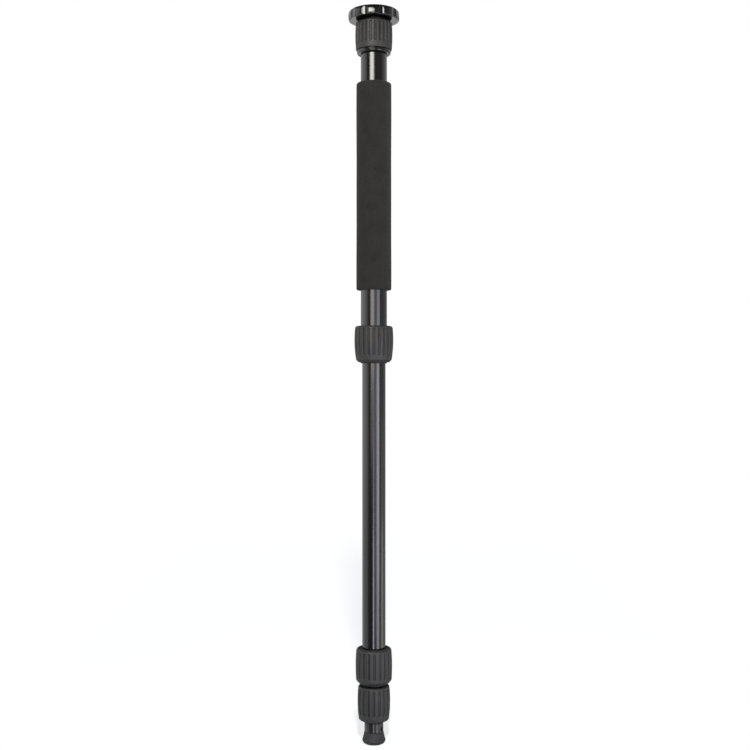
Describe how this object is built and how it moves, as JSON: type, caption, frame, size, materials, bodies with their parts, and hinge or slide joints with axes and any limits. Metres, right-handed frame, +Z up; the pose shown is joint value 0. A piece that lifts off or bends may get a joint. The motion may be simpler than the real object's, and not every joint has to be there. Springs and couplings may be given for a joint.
{
  "type": "camera monopod",
  "caption": "Telescoping camera monopod with twist locks, foam hand grip, camera platform with a stud, and a rubber foot.",
  "frame": {"origin": "centre of the rubber foot's flat sole, on the leg's axis", "axes": "+Z up the leg to the camera stud, -Y to the front as in the picture, +X to the right"},
  "size_m": [0.0544, 0.0548, 0.788],
  "materials": {
    "tube_anodising": "gloss black anodised",
    "plate_black": "gloss black anodised",
    "hub_black": "satin black anodised",
    "nut_black": "satin black anodised",
    "ferrule_black": "gloss black anodised",
    "foot_black": "gloss black anodised",
    "grip_rubber": "matt, ribbed",
    "foot_rubber": "matt",
    "pad_rubber": "matt",
    "seal_rubber": "satin",
    "foam": "matt closed-cell foam",
    "collet_plastic": "matt",
    "shim_plastic": "matt",
    "washer_plastic": "matt",
    "stud_steel": "plain turned"
  },
  "bodies": {
    "upper_leg": {"tube_1": "tube_anodising", "foam_grip": "foam", "head_ferrule": "ferrule_black", "ferrule_a": "ferrule_black"},
    "head": {"head_plate": "plate_black", "head_hub": "hub_black", "head_pad": "pad_rubber", "camera_stud": "stud_steel"},
    "coupling_collar": {"coupling_nut": "nut_black", "coupling_grip": "grip_rubber"},
    "collet_a_ring": {"collet_a": "collet_plastic"},
    "lock_a_collar": {"lock_nut_a": "nut_black", "lock_grip_a": "grip_rubber", "dust_seal_a": "seal_rubber"},
    "section_2": {"tube_2": "tube_anodising", "guide_shim_2_front": "shim_plastic", "guide_shim_2_back": "shim_plastic", "ferrule_b": "ferrule_black"},
    "collet_b_ring": {"collet_b": "collet_plastic"},
    "lock_b_collar": {"lock_nut_b": "nut_black", "lock_grip_b": "grip_rubber", "dust_seal_b": "seal_rubber"},
    "section_3": {"tube_3": "tube_anodising", "guide_shim_3_front": "shim_plastic", "guide_shim_3_back": "shim_plastic", "ferrule_c": "ferrule_black"},
    "collet_c_ring": {"collet_c": "collet_plastic"},
    "lock_c_collar": {"lock_nut_c": "nut_black", "lock_grip_c": "grip_rubber", "dust_seal_c": "seal_rubber"},
    "section_4": {"tube_4": "tube_anodising", "guide_shim_4_front": "shim_plastic", "guide_shim_4_back": "shim_plastic", "foot_plug": "foot_black"},
    "foot_washer_ring": {"foot_washer": "washer_plastic"},
    "foot": {"foot_shank": "foot_black", "rubber_foot": "foot_rubber"}
  },
  "joints": [
    {"name": "section_2_slide", "type": "slide", "parent": "upper_leg", "child": "section_2", "axis": [0, 0, 1], "range_m": [0, 0.301]},
    {"name": "section_3_slide", "type": "slide", "parent": "section_2", "child": "section_3", "axis": [0, 0, -1], "range_m": [0, 0.335]},
    {"name": "section_4_slide", "type": "slide", "parent": "section_3", "child": "section_4", "axis": [0, 0, -1], "range_m": [0, 0.335]},
    {"name": "collet_a_slide", "type": "slide", "parent": "upper_leg", "child": "collet_a_ring", "axis": [0, 0, -1], "range_m": [0, 0.00125]},
    {"name": "lock_a_turn", "type": "hinge", "parent": "collet_a_ring", "child": "lock_a_collar", "pos_m": [0, 0, 0.4268], "axis": [0, 0, -1], "range_deg": [0, 150]},
    {"name": "collet_b_slide", "type": "slide", "parent": "section_2", "child": "collet_b_ring", "axis": [0, 0, -1], "range_m": [0, 0.00125]},
    {"name": "lock_b_turn", "type": "hinge", "parent": "collet_b_ring", "child": "lock_b_collar", "pos_m": [0, 0, 0.08345], "axis": [0, 0, -1], "range_deg": [0, 150]},
    {"name": "collet_c_slide", "type": "slide", "parent": "section_3", "child": "collet_c_ring", "axis": [0, 0, -1], "range_m": [0, 0.00125]},
    {"name": "lock_c_turn", "type": "hinge", "parent": "collet_c_ring", "child": "lock_c_collar", "pos_m": [0, 0, 0.0436], "axis": [0, 0, -1], "range_deg": [0, 150]},
    {"name": "head_lift", "type": "slide", "parent": "upper_leg", "child": "head", "axis": [0, 0, 1], "range_m": [0, 0.018]},
    {"name": "coupling_turn", "type": "hinge", "parent": "head", "child": "coupling_collar", "pos_m": [0, 0, 0.7563], "axis": [0, 0, 1], "range_deg": [0, 2160]},
    {"name": "foot_travel", "type": "slide", "parent": "section_4", "child": "foot_washer_ring", "axis": [0, 0, -1], "range_m": [0, 0.0127]},
    {"name": "foot_turn", "type": "hinge", "parent": "foot_washer_ring", "child": "foot", "pos_m": [0, 0, 0.0165], "axis": [0, 0, -1], "range_deg": [0, 2880]}
  ],
  "couplings": [
    {"joint": "lock_a_turn", "follows": "collet_a_slide", "rad_per_m": 2094.4},
    {"joint": "lock_b_turn", "follows": "collet_b_slide", "rad_per_m": 2094.4},
    {"joint": "lock_c_turn", "follows": "collet_c_slide", "rad_per_m": 2094.4},
    {"joint": "coupling_turn", "follows": "head_lift", "rad_per_m": 2094.4},
    {"joint": "foot_turn", "follows": "foot_travel", "rad_per_m": 3957.9}
  ]
}
